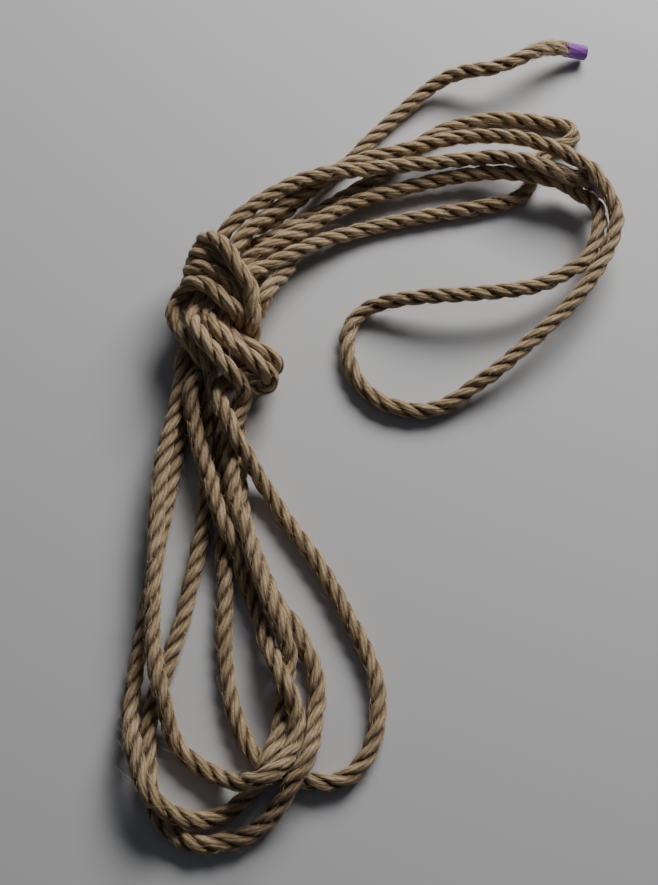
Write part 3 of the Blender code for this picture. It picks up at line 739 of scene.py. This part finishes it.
def mixed(tree, kind, share, first, second):
    """Two colours laid over each other."""
    node = tree.nodes.new("ShaderNodeMix")
    node.data_type = "RGBA"
    node.blend_type = kind
    for socket, value in ((node.inputs[0], share), (node.inputs[6], first), (node.inputs[7], second)):
        if isinstance(value, (int, float)):
            socket.default_value = value
        elif isinstance(value, tuple):
            socket.default_value = (*value, 1)
        else:
            tree.links.new(value, socket)
    return node.outputs[2]


def read_value(tree, name, output):
    """A value that add_values stored on the mesh."""
    node = tree.nodes.new("ShaderNodeAttribute")
    node.attribute_name = name
    return node.outputs[output]


def fibre_material():
    """Twisted plant fibre: streaks along the yarns, with painted shade in the grooves between yarns
    and in the valleys between strands, so the crowns stay paler.
    """
    material, tree, shader = new_material("rope_fibre_look")
    spin = read_value(tree, "spin", "Vector")
    parts = tree.nodes.new("ShaderNodeSeparateXYZ")
    tree.links.new(spin, parts.inputs[0])
    streak_place = tree.nodes.new("ShaderNodeMapping")
    streak_place.inputs["Scale"].default_value = (1.0, 1.0, 0.10)
    tree.links.new(spin, streak_place.inputs["Vector"])
    fine = noise(tree, streak_place.outputs[0], 8.5, 5.0, 0.75)
    broad = noise(tree, streak_place.outputs[0], 1.7, 2.0)
    angle = maths(tree, "ARCTAN2", parts.outputs[1], parts.outputs[0])
    yarn = maths(tree, "ADD", maths(tree, "MULTIPLY", angle, float(YARNS)),
                 maths(tree, "MULTIPLY", broad, 2.4))
    yarn = maths(tree, "MULTIPLY_ADD", maths(tree, "COSINE", yarn), 0.5, 0.5)
    yarn_top = maths(tree, "POWER", yarn, 0.45)
    colour = ramp(tree, fine, [(0.28, (0.17, 0.11, 0.055)), (0.44, (0.44, 0.32, 0.18)),
                               (0.57, (0.65, 0.495, 0.305)), (0.73, (0.92, 0.77, 0.53))])
    # painted shade: the grooves between the yarns are darkened
    colour = mixed(tree, "MULTIPLY", 0.75, colour,
                   ramp(tree, yarn_top, [(0.0, (0.42, 0.34, 0.26)), (0.7, (1, 1, 1))]))
    # painted shade: the valleys between the strands are darkened, the crowns keep their full colour
    crown = read_value(tree, "crown", "Fac")
    valley_painted_shade = ramp(tree, crown, [(0.10, (0.16, 0.12, 0.08)), (0.42, (0.50, 0.43, 0.36)),
                                (0.85, (1, 1, 1))])
    colour = mixed(tree, "MULTIPLY", 0.85, colour, valley_painted_shade)
    tone = ramp(tree, read_value(tree, "shade", "Fac"), [(0.15, (0.70, 0.65, 0.58)),
                                                         (0.85, (1.0, 1.0, 1.0))])
    colour = mixed(tree, "MULTIPLY", 1.0, colour, tone)
    tree.links.new(colour, shader.inputs["Base Color"])
    height = maths(tree, "ADD", maths(tree, "MULTIPLY", yarn_top, 0.65),
                   maths(tree, "MULTIPLY", fine, 0.75))
    bump = tree.nodes.new("ShaderNodeBump")
    bump.inputs["Strength"].default_value = 0.95
    bump.inputs["Distance"].default_value = 0.00055
    tree.links.new(height, bump.inputs["Height"])
    tree.links.new(bump.outputs[0], shader.inputs["Normal"])
    shader.inputs["Roughness"].default_value = 0.82
    shader.inputs["Specular IOR Level"].default_value = 0.28
    shader.inputs["Sheen Weight"].default_value = 0.18
    shader.inputs["Sheen Roughness"].default_value = 0.5
    return material


def hair_material():
    """Loose fibres, some paler and some browner than the rope they come from."""
    material, tree, shader = new_material("loose_fibre_look")
    place = tree.nodes.new("ShaderNodeTexCoord").outputs["Object"]
    colour = ramp(tree, noise(tree, place, 350.0, 2.0), [(0.35, (0.62, 0.46, 0.27)),
                                                         (0.65, (0.88, 0.73, 0.50))])
    tree.links.new(colour, shader.inputs["Base Color"])
    shader.inputs["Roughness"].default_value = 0.7
    return material


def sleeve_material():
    """Purple wrap with a soft sheen and faint cloudy wear."""
    material, tree, shader = new_material("sleeve_look")
    place = tree.nodes.new("ShaderNodeTexCoord").outputs["Object"]
    cloud = noise(tree, place, 420.0, 3.0)
    colour = ramp(tree, cloud, [(0.3, (0.20, 0.065, 0.32)), (0.7, (0.30, 0.11, 0.45))])
    tree.links.new(colour, shader.inputs["Base Color"])
    bump = tree.nodes.new("ShaderNodeBump")
    bump.inputs["Strength"].default_value = 0.25
    bump.inputs["Distance"].default_value = 0.0002
    tree.links.new(noise(tree, place, 900.0, 2.0), bump.inputs["Height"])
    tree.links.new(bump.outputs[0], shader.inputs["Normal"])
    shader.inputs["Roughness"].default_value = 0.55
    shader.inputs["Specular IOR Level"].default_value = 0.25
    return material


def floor_material():
    """Plain pale floor."""
    material, tree, shader = new_material("floor_look")
    shader.inputs["Base Color"].default_value = (0.53, 0.53, 0.54, 1)
    shader.inputs["Roughness"].default_value = 0.9
    return material


# ---------------------------------------------------------------- scene

def add_camera():
    """The camera, 22 degrees off straight down."""
    data = bpy.data.cameras.new("camera")
    data.lens = CAMERA_LENS
    data.sensor_width = CAMERA_SENSOR
    data.clip_start = 0.01
    camera = bpy.data.objects.new("camera", data)
    camera.location = CAMERA_PLACE
    camera.rotation_euler = (math.radians(CAMERA_TILT), 0, 0)
    bpy.context.scene.collection.objects.link(camera)
    bpy.context.scene.camera = camera


def add_area(name, place, aim, size, power, colour):
    """A rectangular lamp that faces aim."""
    data = bpy.data.lights.new(name, "AREA")
    data.shape = "RECTANGLE"
    data.size, data.size_y = size
    data.energy = power
    data.color = colour
    lamp = bpy.data.objects.new(name, data)
    lamp.location = place
    way = Vector(aim) - Vector(place)
    lamp.rotation_euler = way.to_track_quat("-Z", "Y").to_euler()
    bpy.context.scene.collection.objects.link(lamp)


def add_lights():
    """A broad low window on the far right side and a dim even fill."""
    add_area("window", WINDOW_PLACE, (0, 0.02, 0), WINDOW_SIZE, WINDOW_POWER, (1.0, 0.985, 0.96))
    add_area("fill", FILL_PLACE, (0, 0, 0), FILL_SIZE, FILL_POWER, (0.93, 0.96, 1.0))
    world = bpy.data.worlds.new("room")
    bpy.context.scene.world = world
    world.use_nodes = True
    sky = world.node_tree.nodes["Background"]
    sky.inputs["Color"].default_value = (0.80, 0.86, 1.0, 1)
    sky.inputs["Strength"].default_value = ROOM_LIGHT


def add_floor(material):
    """A flat floor at height 0."""
    reach = FLOOR_REACH / MM
    verts = [(-reach, -reach, 0), (reach, -reach, 0), (reach, reach, 0), (-reach, reach, 0)]
    floor = mesh_object("floor", verts, [(0, 1, 2, 3)], material, smooth=False)


def join_up(line, length, squeeze):
    """Build the pieces, ride them on the part and hide the part's own pieces that they stand in for.
    """
    fibre, hair, purple = fibre_material(), hair_material(), sleeve_material()
    rope = add_rope(line, length, squeeze, fibre)
    hairs_1 = add_hairs("loose_fibres_1", line, HAIRS, 3, hair)
    hairs_2 = add_hairs("loose_fibres_2", line, HAIRS, 4, hair)
    sleeve_1 = add_sleeve("sleeve_wrap_1", line, length, True, 11, purple)
    sleeve_2 = add_sleeve("sleeve_wrap_2", line, length, False, 12, purple)
    tip_1 = add_plug("cut_fibre_1", line, length, True, 13, hair)
    tip_2 = add_plug("cut_fibre_2", line, length, False, 14, hair)
    for piece in (rope, hairs_1, hairs_2, sleeve_1, sleeve_2, tip_1, tip_2):
        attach(piece, "root")
    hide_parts(*[name for name, _ in ROUTE])
    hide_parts("end_sleeve_1")
    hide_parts("end_sleeve_2")


add_camera()
line, squeeze = rope_line()
length = np.r_[0, np.cumsum(np.linalg.norm(np.diff(line, axis=0), axis=1))]
join_up(line, length, squeeze)
add_floor(floor_material())
add_lights()
